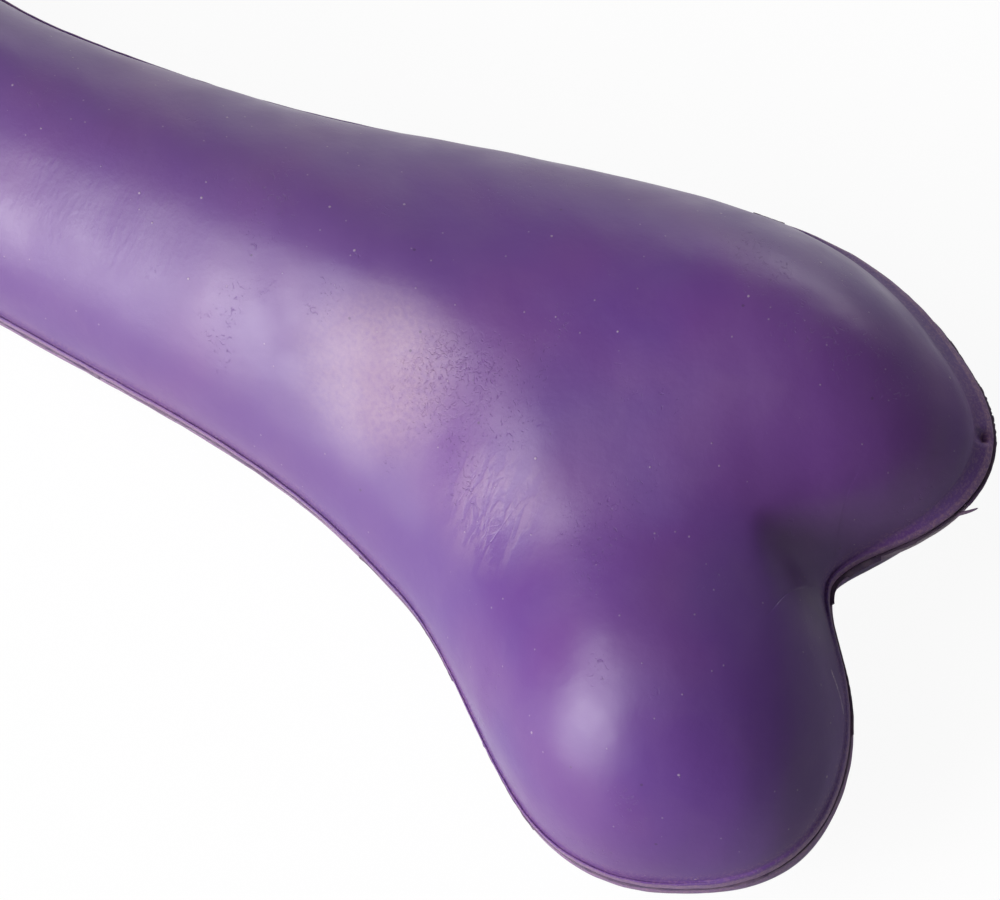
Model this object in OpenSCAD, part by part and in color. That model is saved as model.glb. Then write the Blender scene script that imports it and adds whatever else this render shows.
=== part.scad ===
// Hollow squeaking rubber bone for a dog, moulded in two halves that are gummed together.
// The bone lies along X. Each end has a long lobe on the +Y side and a rounder lobe on the -Y side.
// Both halves come from one rule. In any section across the bone lie two circles, one for each
// lobe's limb. They share the middle of the shaft, part at the head, and a soft fillet joins them.
// Three low mounds then fill the head: its crest, its palm and the web behind the cleft.

/* [Bone] */
// From the middle of the bone to the tip of the round lobe
half_length = 97.8; // [90:0.2:110]
// Radius of the shaft at its waist
shaft_r = 12.2; // [11.5:0.1:14]
// Thickness of the rubber wall
wall = 4.2; // [2.5:0.1:5]
// Height of the shaft as a share of its width
shaft_depth_share = 0.95; // [0.88:0.01:1.05]
// Height of the head as a share of its lobes' widths
head_depth_share = 1.09; // [0.95:0.01:1.15]
// Reach of the soft fillet that joins the two limbs
fillet = 21.1; // [17:0.1:23]
// Length of the head, from where it starts to deepen to the tip
head_length = 56; // [46:0.5:64]
// Length over which the head deepens
deepen_length = 41.5; // [34:0.5:46]
// How deep the small flats are where the bone rests on its lower side
rest_flat = 0.1; // [0.05:0.05:0.3]

/* [Long lobe] */
// Radius across the long lobe
long_r = 14.6; // [13.6:0.1:16]
// From the long lobe's centre to its tip
long_end = 26.3; // [23:0.1:29]
// How far the long lobe's tip stands behind the round lobe's tip
long_set_back = 3; // [1.5:0.1:4.5]
// How far the long lobe's limb bends away from the middle line
long_reach = 12.2; // [11:0.1:14]
// Length over which the shaft swells into the long lobe
long_swell = 63.5; // [50:0.5:68]
// How far past the lobe's centre the limb goes on bending
long_bend = 17.2; // [12:0.1:20]
// How far the tip splays outward after that
long_splay = 1.3; // [0.5:0.1:3]
// Shape of the long limb's swelling
long_swell_power = 0.5; // [0.4:0.05:1]

/* [Round lobe] */
// Radius across the round lobe
round_r = 15.1; // [14:0.1:16.5]
// From the round lobe's centre to its tip
round_end = 18.2; // [16:0.1:21]
// How far the round lobe's limb bends away from the middle line
round_reach = 16.5; // [15:0.1:18]
// Length over which the shaft swells into the round lobe
round_swell = 24; // [18:0.5:32]
// How far past the lobe's centre the limb goes on bending
round_bend = 8.2; // [5:0.1:10]
// How far the tip splays outward after that
round_splay = 1.7; // [0.5:0.1:3]
// Shape of the round limb's bend, where a high value bends late
round_bend_power = 1.35; // [1:0.05:2]
// Shape of the round limb's swelling
round_swell_power = 1.05; // [0.7:0.05:1.3]

/* [Mounds] */
// From the round lobe's tip back to the middle of the crest that carries on the shaft
crest_back = 48.3; // [44:0.1:54]
// How far the crest lies towards the long lobe
crest_y = 1.5; // [-1:0.1:4]
// Half length of the crest
crest_l = 24.5; // [20:0.5:28]
// Half width of the crest
crest_w = 8; // [6:0.1:10]
// How much the crest fills out the section
crest_h = 9; // [4:0.1:10]
// From the round lobe's tip back to the middle of the palm between the lobes
palm_back = 35.3; // [32:0.1:38]
// How far the palm lies towards the long lobe
palm_y = -6; // [-9:0.1:-3]
// Half length of the palm
palm_l = 10; // [8:0.1:13]
// Half width of the palm
palm_w = 7; // [6:0.1:9]
// How much the palm fills out the section
palm_h = 9.7; // [4:0.1:10.5]
// From the round lobe's tip back to the middle of the web behind the cleft
web_back = 17.8; // [15:0.1:21]
// How far the web lies towards the long lobe
web_y = -1; // [-3:0.1:1]
// Half length of the web
web_l = 17.5; // [14:0.1:20]
// Half width of the web
web_w = 6.5; // [5:0.1:9]
// How much the web fills out the section
web_h = 8; // [4:0.1:9]
// How far inside the bone's outline the mounds reach their full height
mound_fade = 7.7; // [6:0.1:9]

/* [Seam] */
// Height of the raised parting band round the bone
band_h = 2.8; // [1.6:0.1:4]
// How far the band stands proud of the rubber
band_proud = 0.3; // [0.2:0.05:0.8]
// Chamfer on the band's edges
band_chamfer = 0.15; // [0.05:0.05:0.2]
// Thickness of the bonding gum between the halves
gum_t = 0.3; // [0.2:0.05:0.5]
// How far the gum squeezes out past the band
gum_flash = 0.25; // [0.1:0.05:0.5]

/* [Squeaker] */
// Radius of the squeaker's barrel
barrel_r = 5.2; // [4.6:0.1:5.6]
// Length of the barrel above its flange
barrel_h = 9.2; // [8.4:0.1:10]
// Thickness of the barrel's wall
barrel_wall = 1; // [0.8:0.1:1.2]
// Radius of the flange that shows underneath the bone
flange_r = 6.5; // [6.2:0.1:7]
// Thickness of the flange
flange_t = 1; // [0.8:0.1:1.4]
// How deep the flange's outer face lies inside the shaft's lowest line
flange_sink = 1.8; // [1.6:0.1:2.2]
// Thickness of the rubber lip that the squeaker snaps over
lip_t = 2.6; // [2:0.1:3]
// How far the snap ring stands out of the barrel
snap_proud = 0.9; // [0.5:0.1:1.2]
// Height of the snap ring
snap_h = 1.2; // [0.8:0.1:1.6]
// Radius of the sound hole in the flange
sound_hole_r = 1.5; // [1:0.1:2]
// Radius of the vent hole in the cap
vent_r = 1.2; // [0.8:0.1:1.6]
// Thickness of the cap's top
cap_t = 0.9; // [0.7:0.1:1.2]
// Depth of the cap's skirt round the barrel
cap_skirt = 1.6; // [1.2:0.1:2]
// Thickness of the reed
reed_t = 0.25; // [0.2:0.05:0.4]
// Width of the reed
reed_w = 4.4; // [3.6:0.1:5]
// Length of the reed
reed_l = 5.6; // [5:0.1:6]
// Length of the clip that holds the reed's foot
clip_l = 2; // [1.6:0.1:2.6]
// Width of the air channel behind the reed
channel_w = 2.8; // [2:0.1:3.2]

/* [Fit] */
// Clearance round pieces that press or snap together
fit_gap = 0.1; // [0.05:0.05:0.2]

/* [Hidden] */
// Steps of the skin along the shaft, along a lobe's end and across a limb
shaft_steps = 22;
end_steps = 7;
across_steps = 8;
last = shaft_steps + end_steps;
// Halvings when an edge is searched for
search_steps = 34;
// Smoothness of the round parts
round_fn = 64;
// How far cuts run past the faces that they cut
overrun = 1;
// How deep the boss round the squeaker's hole is rooted in the wall
boss_root = 0.6;
// How far the boss stands out round the snap ring
boss_rim = 1.4;
// Length of the step that measures a slope
probe = 0.01;
half_band = band_h / 2;
half_gum = gum_t / 2;
long_side = 0;
round_side = 1;
// Per side: radius, end, tip, reach, swell, bend, splay, bend power and swell power
even_bend = 1;
limbs = [
  [long_r, long_end, half_length - long_set_back, long_reach, long_swell,
    long_bend, long_splay, even_bend, long_swell_power],
  [round_r, round_end, half_length, -round_reach, round_swell,
    round_bend, -round_splay, round_bend_power, round_swell_power]
];
// Per mound: place along and across, half length, half width and height
crest = [half_length - crest_back, crest_y, crest_l, crest_w, crest_h];
palm = [half_length - palm_back, palm_y, palm_l, palm_w, palm_h];
web = [half_length - web_back, web_y, web_l, web_w, web_h];

function mix(a, b, t) = a + (b - a) * t;
function ramp(t) = let (c = min(max(t, 0), 1)) c * c * (3 - 2 * c);

// Height of a section as a share of its width
function depth_share(x) =
  mix(shaft_depth_share, head_depth_share, ramp((abs(x) - half_length + head_length) / deepen_length));

// How far a limb's centre line lies from the middle of the bone
function limb_y(side, x) =
  let (limb = limbs[side], a = abs(x), bend_end = limb[2] - limb[1] + limb[5])
  limb[3] * ramp(pow(a / bend_end, limb[7]))
  + limb[6] * pow(max(0, a - bend_end) / (limb[1] - limb[5]), 2);

// Squared radius of a limb's section, which falls to zero at the tip
function limb_rr(side, x) =
  let (
    limb = limbs[side],
    past = abs(x) - limb[2] + limb[1],
    waist_r = sqrt(pow(shaft_r, 2) - pow(fillet, 2) / 6),
    swell = ramp(pow(max(0, past / limb[4] + 1), limb[8]))
  )
  pow(mix(waist_r, limb[0], swell), 2) - pow(max(0, past) * limb[0] / limb[1], 2);

// Squared half width of the section that the two limbs and their fillet make above a point
function two_limbs(x, y) =
  let (
    a = limb_rr(long_side, x) - pow(y - limb_y(long_side, x), 2),
    b = limb_rr(round_side, x) - pow(y - limb_y(round_side, x), 2),
    k = fillet * fillet
  )
  max(a, b) + pow(max(k - abs(a - b), 0), 3) / (6 * k * k);

// One mound, at both ends of the bone
function bell(t) = exp(-t * t);
function mound(x, y, m) =
  m[4] * m[4] * bell((y - m[1]) / m[3]) * (bell((x - m[0]) / m[2]) + bell((x + m[0]) / m[2]));

// The whole section, which is positive inside the bone. The mounds leave the outline as it is.
function field(x, y) =
  let (f = two_limbs(x, y))
  f + ramp(f / pow(mound_fade, 2)) * (mound(x, y, crest) + mound(x, y, palm) + mound(x, y, web));

// Squared height of the skin above the seam plane
function height_squared(x, y) = pow(depth_share(x), 2) * field(x, y);

// The lowest place of a section between its lobes, by halving on the side where the skin falls
function falls(x, y) = field(x, y + probe) < field(x, y - probe);
function lowest_y(x, falling_y, rising_y, n = search_steps) =
  let (m = (falling_y + rising_y) / 2)
  n == 0 ? m : falls(x, m) ? lowest_y(x, m, rising_y, n - 1) : lowest_y(x, falling_y, m, n - 1);
function valley_y(x) = lowest_y(x, limb_y(round_side, x), limb_y(long_side, x));

// Halving searches from a place inside the bone to one outside, for where the skin meets the band
function above(p) = height_squared(p.x, p.y) > half_band * half_band;
function edge_y(x, in_y, out_y, n = search_steps) =
  let (m = (in_y + out_y) / 2)
  n == 0 ? m : above([x, m]) ? edge_y(x, m, out_y, n - 1) : edge_y(x, in_y, m, n - 1);
function cleft_x(in_x, out_x, n = search_steps) =
  let (m = (in_x + out_x) / 2)
  n == 0 ? m : above([m, valley_y(m)]) ? cleft_x(m, out_x, n - 1) : cleft_x(in_x, m, n - 1);
function tip_x(side, in_x, out_x, n = search_steps) =
  let (m = (in_x + out_x) / 2)
  n == 0 ? m : above([m, limb_y(side, m)]) ? tip_x(side, m, out_x, n - 1) : tip_x(side, in_x, m, n - 1);

cleft = cleft_x(half_length / 2, half_length - long_set_back);
tips = [for (limb = limbs, side = limb[3] > 0 ? long_side : round_side)
  tip_x(side, limb[2] - limb[1], limb[2])];

// One section of a limb's skin. Up to the cleft it runs from the line that splits the bone out to
// the edge, and past the cleft from edge to edge. The end sections shrink to a point.
function section(side, i) =
  let (
    a = abs(i),
    t = a / shaft_steps,
    u = (a - shaft_steps) / end_steps,
    x = a <= shaft_steps
      ? cleft * (t + sin(90 * t)) / 2
      : mix(cleft, tips[side], (1 - cos(180 * u)) / 2),
    centre = limb_y(side, x),
    out_y = centre + sign(limbs[side][3]) * 2 * limbs[side][0],
    inner = a == last ? centre
      : a > shaft_steps ? edge_y(x, centre, valley_y(x))
      : valley_y(cleft) * pow(x / cleft, 2),
    outer = a == last ? centre : edge_y(x, centre, out_y),
    both = ramp(5 * x / cleft - 4)
  )
  [for (j = [0:across_steps])
    let (
      s = j / across_steps,
      y = mix(inner, outer, mix(sin(90 * s), (1 - cos(180 * s)) / 2, both)),
      on_edge = a == last || j == across_steps || (a >= shaft_steps && j == 0)
    )
    [sign(i) * x, y, on_edge ? half_band : sqrt(height_squared(x, y))]];
function skin(side) = [for (i = [-last:last]) section(side, i)];

// The hollow's skin lies one wall inside, square to the outer skin
function slope(p) = [
  height_squared(p.x - probe, p.y) - height_squared(p.x + probe, p.y),
  height_squared(p.x, p.y - probe) - height_squared(p.x, p.y + probe)
] / (2 * probe);
function one_wall_in(p) =
  let (g = slope(p), n = [g.x, g.y, 2 * p.z])
  p - n * wall / norm(n);
function hollow(s) = [for (row = s) [for (p = row) one_wall_in(p)]];

// The skin's edge as one loop, clockwise from above, starting at the long lobe's tip at -X
function edge_loop(long_skin, round_skin) = concat(
  [for (i = [0:2 * last]) long_skin[i][across_steps]],
  [for (i = [2 * last - 1:-1:last + shaft_steps]) long_skin[i][0]],
  [for (i = [last + shaft_steps + 1:2 * last]) round_skin[i][0]],
  [for (i = [2 * last - 1:-1:0]) round_skin[i][across_steps]],
  [for (i = [1:end_steps]) round_skin[i][0]],
  [for (i = [end_steps - 1:-1:1]) long_skin[i][0]]
);

// A loop moved outward in its plane and set at a height
function moved_loop(loop, offset_by, z) =
  [for (p = loop)
    let (g = slope(p), n = g / norm(g))
    [p.x + n.x * offset_by, p.y + n.y * offset_by, z]];
function at_height(loop, z) = [for (p = loop) [p.x, p.y, z]];

// A four sided patch as triangles, without the one that has no area
function patch(a, b, c, d) = [if (a != b) [a, b, c], if (c != d) [a, c, d]];
function skin_patches(s, flip) =
  [for (i = [0:2 * last - 1], j = [0:across_steps - 1])
    each flip
      ? patch(s[i][j], s[i + 1][j], s[i + 1][j + 1], s[i][j + 1])
      : patch(s[i][j], s[i][j + 1], s[i + 1][j + 1], s[i + 1][j])];
function ring_patches(a, b) =
  let (n = len(a))
  [for (i = [0:n - 1]) each patch(a[i], b[i], b[(i + 1) % n], a[(i + 1) % n])];
module closed_shape(triangles) {
  polyhedron(
    points = [for (t = triangles) each t],
    faces = [for (k = [0:3:3 * len(triangles) - 3]) [k, k + 1, k + 2]]
  );
}

long_skin = skin(long_side);
round_skin = skin(round_side);
outer_loop = edge_loop(long_skin, round_skin);
long_hollow = hollow(long_skin);
round_hollow = hollow(round_skin);
hollow_loop = edge_loop(long_hollow, round_hollow);
flash_loop = moved_loop(outer_loop, band_proud + gum_flash, half_gum);

// The bone rests on flats under its palm and its round lobes, so the seam lies above the ground by
// the lesser of their depths. The line that splits the skin runs over the palm.
function crown_z(s, first) = max([for (row = s, j = [first:across_steps]) row[j].z]);
seam_z = min(crown_z(long_skin, 0), crown_z(round_skin, 1)) - rest_flat;
flash_ys = [for (p = flash_loop) p.y];
middle_y = (max(flash_ys) + min(flash_ys)) / 2;

// Heights and radii of the squeaker's parts, with the seam plane at zero
hollow_z = -shaft_r * shaft_depth_share + wall;
face_z = -shaft_r * shaft_depth_share + flange_sink;
seat_z = face_z + flange_t;
lip_z = seat_z + lip_t;
barrel_top_z = seat_z + barrel_h;
boss_r = barrel_r + snap_proud + boss_rim;
cup_r = barrel_r - barrel_wall;
seat_r = cup_r - fit_gap;

module in_place() {
  translate([0, -middle_y, seam_z]) children();
}

// One half of the bone above the seam plane: skin, band, seam face and hollow
module half_shell() {
  rings = [
    outer_loop,
    moved_loop(outer_loop, band_proud - band_chamfer, half_band),
    moved_loop(outer_loop, band_proud, half_band - band_chamfer),
    moved_loop(outer_loop, band_proud, half_gum),
    at_height(hollow_loop, half_gum),
    hollow_loop
  ];
  closed_shape(concat(
    skin_patches(long_skin, false),
    skin_patches(round_skin, true),
    [for (k = [0:len(rings) - 2]) each ring_patches(rings[k], rings[k + 1])],
    skin_patches(long_hollow, true),
    skin_patches(round_hollow, false)
  ));
}

module upper_half() {
  color([0.36, 0.22, 0.50]) in_place() half_shell();
}

// The lower half has the rest flats, and the hole with its boss for the squeaker
module lower_half() {
  color([0.36, 0.22, 0.50])
    in_place()
      difference() {
        union() {
          mirror([0, 0, 1]) half_shell();
          translate([0, 0, hollow_z - boss_root])
            cylinder(h = lip_z - hollow_z + boss_root, r = boss_r, $fn = round_fn);
        }
        translate([0, 0, face_z - flange_sink - overrun])
          cylinder(h = flange_t + flange_sink + overrun, r = flange_r + fit_gap, $fn = round_fn);
        translate([0, 0, face_z]) cylinder(h = barrel_h, r = barrel_r + fit_gap, $fn = round_fn);
        translate([-half_length - overrun, -half_length, -seam_z - half_length])
          cube([2 * (half_length + overrun), 2 * half_length, half_length]);
      }
}

// The gum that bonds the halves, squeezed out as a thin fin
module seam_gum() {
  rings = [
    at_height(hollow_loop, half_gum),
    flash_loop,
    at_height(flash_loop, -half_gum),
    at_height(hollow_loop, -half_gum)
  ];
  color([0.27, 0.16, 0.38])
    in_place()
      closed_shape([for (k = [0:3]) each ring_patches(rings[k], rings[(k + 1) % 4])]);
}

// The plastic cup: flange, barrel with its snap ring, and the sound hole
module squeaker_cup() {
  ring_z = lip_z + fit_gap;
  color([0.93, 0.92, 0.88])
    in_place()
      rotate_extrude($fn = round_fn)
        polygon([
          [sound_hole_r, face_z],
          [flange_r, face_z],
          [flange_r, seat_z],
          [barrel_r, seat_z],
          [barrel_r, ring_z],
          [barrel_r + snap_proud, ring_z],
          [barrel_r, ring_z + snap_h],
          [barrel_r, barrel_top_z],
          [cup_r, barrel_top_z],
          [cup_r, seat_z],
          [sound_hole_r, seat_z]
        ]);
}

// The cap that closes the barrel, with its skirt outside and the vent hole
module squeaker_cap() {
  skirt_r = barrel_r + fit_gap;
  rim_r = skirt_r + barrel_wall;
  color([0.86, 0.85, 0.81])
    in_place()
      rotate_extrude($fn = round_fn)
        polygon([
          [vent_r, barrel_top_z],
          [skirt_r, barrel_top_z],
          [skirt_r, barrel_top_z - cap_skirt],
          [rim_r, barrel_top_z - cap_skirt],
          [rim_r, barrel_top_z + cap_t],
          [vent_r, barrel_top_z + cap_t]
        ]);
}

// Half a round plug on the cup's floor, on one side of the reed's plane
module half_plug(h, y0) {
  translate([0, 0, seat_z])
    intersection() {
      cylinder(h = h, r = seat_r, $fn = round_fn);
      translate([-seat_r, y0, 0]) cube([2 * seat_r, seat_r, h]);
    }
}

// The seat that the reed beats against, with the air channel down its face
module reed_seat() {
  color([0.80, 0.79, 0.76])
    in_place()
      difference() {
        half_plug(reed_l, -seat_r - reed_t / 2);
        translate([0, -reed_t / 2, seat_z - overrun])
          cylinder(h = reed_l - clip_l / 2 + overrun, r = channel_w / 2, $fn = round_fn);
      }
}

// The clip that presses the reed's foot against its seat
module reed_clip() {
  color([0.74, 0.73, 0.70]) in_place() half_plug(clip_l, reed_t / 2);
}

module reed() {
  color([0.97, 0.96, 0.92])
    in_place()
      translate([-reed_w / 2, -reed_t / 2, seat_z])
        cube([reed_w, reed_t, reed_l]);
}

upper_half();
lower_half();
seam_gum();
squeaker_cup();
squeaker_cap();
reed_seat();
reed_clip();
reed();
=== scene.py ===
# %% [markdown]
# # A hollow rubber chew bone
#
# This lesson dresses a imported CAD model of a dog's chew bone. The real bone is satin purple natural
# rubber. It is moulded in two thick halves that are gummed together, so a raised parting band with
# trimmed flash runs right round it. A small plastic squeaker is snapped in underneath.
#
# The CAD model gives the place and the size of everything. We load it first and keep its box, because
# Blender only changes looks and never the size.

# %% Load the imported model
import math
from collections import namedtuple

import bpy
import numpy as np
from mathutils import Matrix, Vector


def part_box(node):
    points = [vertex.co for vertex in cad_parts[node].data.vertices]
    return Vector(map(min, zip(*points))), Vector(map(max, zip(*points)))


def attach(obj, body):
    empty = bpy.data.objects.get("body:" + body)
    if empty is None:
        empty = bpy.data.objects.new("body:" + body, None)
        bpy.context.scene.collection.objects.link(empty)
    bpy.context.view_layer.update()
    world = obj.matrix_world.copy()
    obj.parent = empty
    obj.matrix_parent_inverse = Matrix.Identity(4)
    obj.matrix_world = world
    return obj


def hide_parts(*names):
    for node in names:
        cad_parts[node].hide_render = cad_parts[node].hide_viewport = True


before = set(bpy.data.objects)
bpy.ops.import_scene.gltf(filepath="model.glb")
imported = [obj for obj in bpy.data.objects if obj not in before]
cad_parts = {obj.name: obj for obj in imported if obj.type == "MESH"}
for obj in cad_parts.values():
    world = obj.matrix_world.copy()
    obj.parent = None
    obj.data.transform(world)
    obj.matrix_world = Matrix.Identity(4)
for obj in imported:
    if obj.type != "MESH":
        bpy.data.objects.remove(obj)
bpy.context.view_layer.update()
MM = 0.001
cup_low, cup_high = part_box("squeaker_cup")
gum_low, gum_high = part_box("seam_gum")
middle_shift = (cup_low.y + cup_high.y) / 2 / MM
seam_height = (gum_low.z + gum_high.z) / 2 / MM
print("nodes:", sorted(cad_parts))
print(f"the seam plane is {seam_height:.2f} mm up, the shaft's middle {middle_shift:.2f} mm to +Y")

# %% [markdown]
# ## The rule behind the bone's shape
#
# A bone like this could be sculpted, or lofted from drawn sections. One rule flows as smoothly as the
# moulded skin does, so we use the same rule as the CAD source, only with far finer steps. In any
# section across the bone lie two circles, one for each lobe's limb. They share the shaft, part at
# the head, and a soft fillet joins them. Three low mounds fill the head: its crest, its palm and the
# web behind the cleft. Every size is in millimetres.

# %% The bone's sizes
Limb = namedtuple("Limb", "radius end tip reach swell bend splay bend_power swell_power side")
long_limb = Limb(14.6, 26.3, 94.8, 12.2, 63.5, 17.2, 1.3, 1.0, 0.5, 1)
round_limb = Limb(15.1, 18.2, 97.8, -16.5, 24.0, 8.2, -1.7, 1.35, 1.05, -1)
Mound = namedtuple("Mound", "x y length width height")
mounds = [
    Mound(49.5, 1.5, 24.5, 8.0, 9.0), Mound(62.5, -6.0, 10.0, 7.0, 9.7), Mound(80.0, -1.0, 17.5, 6.5, 8.0)
]
half_length, shaft_radius, wall = 97.8, 12.2, 4.2
fillet, mound_fade = 21.1, 7.7
shaft_depth, head_depth = 0.95, 1.09
head_length, deepen_length = 56.0, 41.5
half_band, half_gum = 1.4, 0.15
print(f"bone {2 * half_length:.0f} mm long, shaft {2 * shaft_radius:.1f} mm, wall {wall} mm")


# %% The section rule
def ramp(t):
    """An even rise from 0 to 1."""
    t = np.clip(t, 0, 1)
    return t * t * (3 - 2 * t)


def limb_y(limb, x):
    """How far the limb's centre line lies from the middle of the bone."""
    bend_end = limb.tip - limb.end + limb.bend
    past = np.maximum(0, np.abs(x) - bend_end) / (limb.end - limb.bend)
    return limb.reach * ramp((np.abs(x) / bend_end) ** limb.bend_power) + limb.splay * past**2


SOFT_MIDDLE = 6.0  # rounds the start of the swell, which would crease the middle of the shaft


def limb_rr(limb, x):
    """Squared radius of the limb's circle, which falls to zero at its tip."""
    past = np.abs(x) - limb.tip + limb.end
    softened = np.hypot(x, SOFT_MIDDLE) - limb.tip + limb.end
    waist = math.sqrt(shaft_radius**2 - fillet**2 / 6)
    swell = ramp(np.maximum(0, softened / limb.swell + 1) ** limb.swell_power)
    grown = waist + (limb.radius - waist) * swell
    return grown**2 - (np.maximum(0, past) * limb.radius / limb.end) ** 2


def bell(t):
    return np.exp(-t * t)


def height_squared(x, y):
    """Squared height of the skin above the seam plane, negative outside the bone."""
    a = limb_rr(long_limb, x) - (y - limb_y(long_limb, x)) ** 2
    b = limb_rr(round_limb, x) - (y - limb_y(round_limb, x)) ** 2
    k = fillet**2
    joined = np.maximum(a, b) + np.maximum(k - np.abs(a - b), 0) ** 3 / (6 * k * k)
    fill = sum(
        m.height**2 * bell((y - m.y) / m.width) * (bell((x - m.x) / m.length) + bell((x + m.x) / m.length))
        for m in mounds
    )
    deepen = ramp((np.abs(x) - half_length + head_length) / deepen_length)
    depth = shaft_depth + (head_depth - shaft_depth) * deepen
    return depth**2 * (joined + ramp(joined / mound_fade**2) * fill)


crown = float(np.sqrt(height_squared(np.array([79.75]), np.array([-15.5])))[0])
print(f"the round lobe's crown is {crown:.1f} mm above the seam")

# %% [markdown]
# ## From the rule to a grid of points
#
# The skin is laid out as two grids, one over each limb. Up to the cleft they share the line that
# splits the bone, and past the cleft each closes on its own lobe's tip. Grids that follow the form
# give clean quads, where a remesh would give random ones and blur the crisp parting band. Where the
# skin meets the band is found by halving a step again and again, as one would feel for an edge.

# %% Find the skin's edges
SHAFT_STEPS, END_STEPS, ACROSS_STEPS = 300, 80, 24
LAST = SHAFT_STEPS + END_STEPS


def halve(inside, within, outside, steps=40):
    """The last place inside the rubber on the way from within to outside."""
    for _ in range(steps):
        middle = (within + outside) / 2
        held = inside(middle)
        within = np.where(held, middle, within)
        outside = np.where(held, outside, middle)
    return within


def above_band(x, y):
    return height_squared(x, y) > half_band**2


def valley_y(x):
    """The lowest place of a section between its lobes."""
    def falls(y):
        return height_squared(x, y + 0.01) < height_squared(x, y - 0.01)

    return halve(falls, limb_y(round_limb, x), limb_y(long_limb, x))


cleft = float(halve(lambda x: above_band(x, valley_y(x)), half_length / 2, long_limb.tip))
tips = {
    limb: float(halve(lambda x: above_band(x, limb_y(limb, x)), limb.tip - limb.end, limb.tip))
    for limb in (long_limb, round_limb)
}
print(f"cleft at {cleft:.2f} mm, lobe tips at", [round(t, 2) for t in tips.values()])


# %% Lay the grid over one limb
def waves(p):
    """The slight unevenness of moulded rubber, in millimetres, the same wherever pieces meet."""
    x, y, z = p[..., 0], p[..., 1], p[..., 2]
    slow = np.sin(0.21 * x + 1.3) * np.sin(0.33 * y - 0.17 * z + 0.4)
    quick = np.sin(0.83 * x + 0.31 * y + 2.1) * np.sin(0.57 * y - 0.71 * z)
    return 0.07 * slow + 0.025 * quick


def skin_grid(limb):
    """Points over one limb's skin: rows along X, columns from the split line out to the edge."""
    i = np.arange(-LAST, LAST + 1)
    a = np.abs(i)
    t = a / SHAFT_STEPS
    u = (a - SHAFT_STEPS) / END_STEPS
    along = cleft * (t + np.sin(t * math.pi / 2)) / 2
    beyond = cleft + (tips[limb] - cleft) * (1 - np.cos(math.pi * np.maximum(u, 0))) / 2
    x = np.where(a <= SHAFT_STEPS, along, beyond)
    centre = limb_y(limb, x)
    far = centre + limb.side * 2 * limb.radius
    outer = halve(lambda y: above_band(x, y), centre, far)
    inner_edge = halve(lambda y: above_band(x, y), centre, valley_y(x))
    split = float(valley_y(cleft)) * (x / cleft) ** 2
    inner = np.where(a > SHAFT_STEPS, inner_edge, split)
    inner, outer = (np.where(a == LAST, centre, side) for side in (inner, outer))
    s = np.arange(ACROSS_STEPS + 1) / ACROSS_STEPS
    both = ramp(5 * x / cleft - 4)[:, None]
    share = (1 - both) * np.sin(s * math.pi / 2) + both * (1 - np.cos(s * math.pi)) / 2
    y = inner[:, None] + (outer - inner)[:, None] * share
    z = np.sqrt(np.maximum(height_squared(x[:, None], y), half_band**2))
    z[:, -1] = half_band
    z[a >= SHAFT_STEPS, 0] = half_band
    z[a == LAST] = half_band
    return np.stack([np.broadcast_to((np.sign(i) * x)[:, None], y.shape), y, z], -1)


grids = {limb: skin_grid(limb) for limb in (long_limb, round_limb)}
print("grid over each limb:", grids[long_limb].shape)


# %% The skin's slope and its edge loop
def slope(p):
    """Which way is out in the seam plane, as the fall of the squared height per millimetre."""
    step = 0.01
    x, y = p[..., 0], p[..., 1]
    gx = height_squared(x - step, y) - height_squared(x + step, y)
    gy = height_squared(x, y - step) - height_squared(x, y + step)
    return np.stack([gx, gy], -1) / (2 * step)


def out_of_skin(p):
    n = np.concatenate([slope(p), 2 * p[..., 2:]], -1)
    return n / np.linalg.norm(n, axis=-1, keepdims=True)


def edge_loop(long_grid, round_grid):
    """The edge of both grids as one loop, clockwise from above."""
    join = LAST + SHAFT_STEPS
    return np.concatenate([
        long_grid[:, -1],
        long_grid[2 * LAST - 1:join - 1:-1, 0],
        round_grid[join + 1:, 0],
        round_grid[2 * LAST - 1::-1, -1],
        round_grid[1:END_STEPS + 1, 0],
        long_grid[END_STEPS - 1:0:-1, 0],
    ])


skin_edge = edge_loop(grids[long_limb], grids[round_limb])
steps = np.linalg.norm(np.roll(skin_edge, -1, 0) - skin_edge, axis=1)
print(f"edge loop: {len(skin_edge)} points, {steps.sum():.0f} mm round, widest step {steps.max():.2f} mm")

# %% [markdown]
# ## The raised parting band
#
# Where the two halves of the mould met, the rubber has a raised band with a fine bead along its
# edge and a crease between bead and skin. Light catches the bead as a thin bright line. A bump map
# could fake the line, but the band shows in the outline, so it is built from loops that step
# outward from the skin's edge. The band isn't even on the real bone: hands trimmed it, so its height
# and its stand-off wander a little. Round the long lobe's tip the photo also shows a dusty skirt
# about a millimetre wide, so there the skin is set in and the band slopes down to the seam. A small
# deep pit with a torn edge lies in the skirt, and it is sunk into the same loops.


# %% Uneven values along the seam
def along_seam(points):
    """Distance along a closed loop, and its whole length."""
    step = np.linalg.norm(np.roll(points, -1, 0)[:, :2] - points[:, :2], axis=1)
    return np.concatenate([[0], np.cumsum(step)[:-1]]), step.sum()


def wander(distance, length, spacing, seed):
    """Smooth random values round a loop, from -1 to 1, about one bend per spacing."""
    count = max(4, round(length / spacing))
    knots = np.random.default_rng(seed).uniform(-1, 1, count)
    place = distance / length * count
    k = np.floor(place).astype(int)
    t = ramp(place - k)
    return knots[k % count] * (1 - t) + knots[(k + 1) % count] * t


def near(points, x, y, reach):
    """1 at a place on the seam, falling to 0 at the reach from it."""
    return ramp(1 - np.hypot(points[:, 0] - x, points[:, 1] - y) / reach)


def outward_in_plane(points):
    g = slope(points)
    return g / np.maximum(np.linalg.norm(g, axis=-1, keepdims=True), 1e-9)


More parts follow.
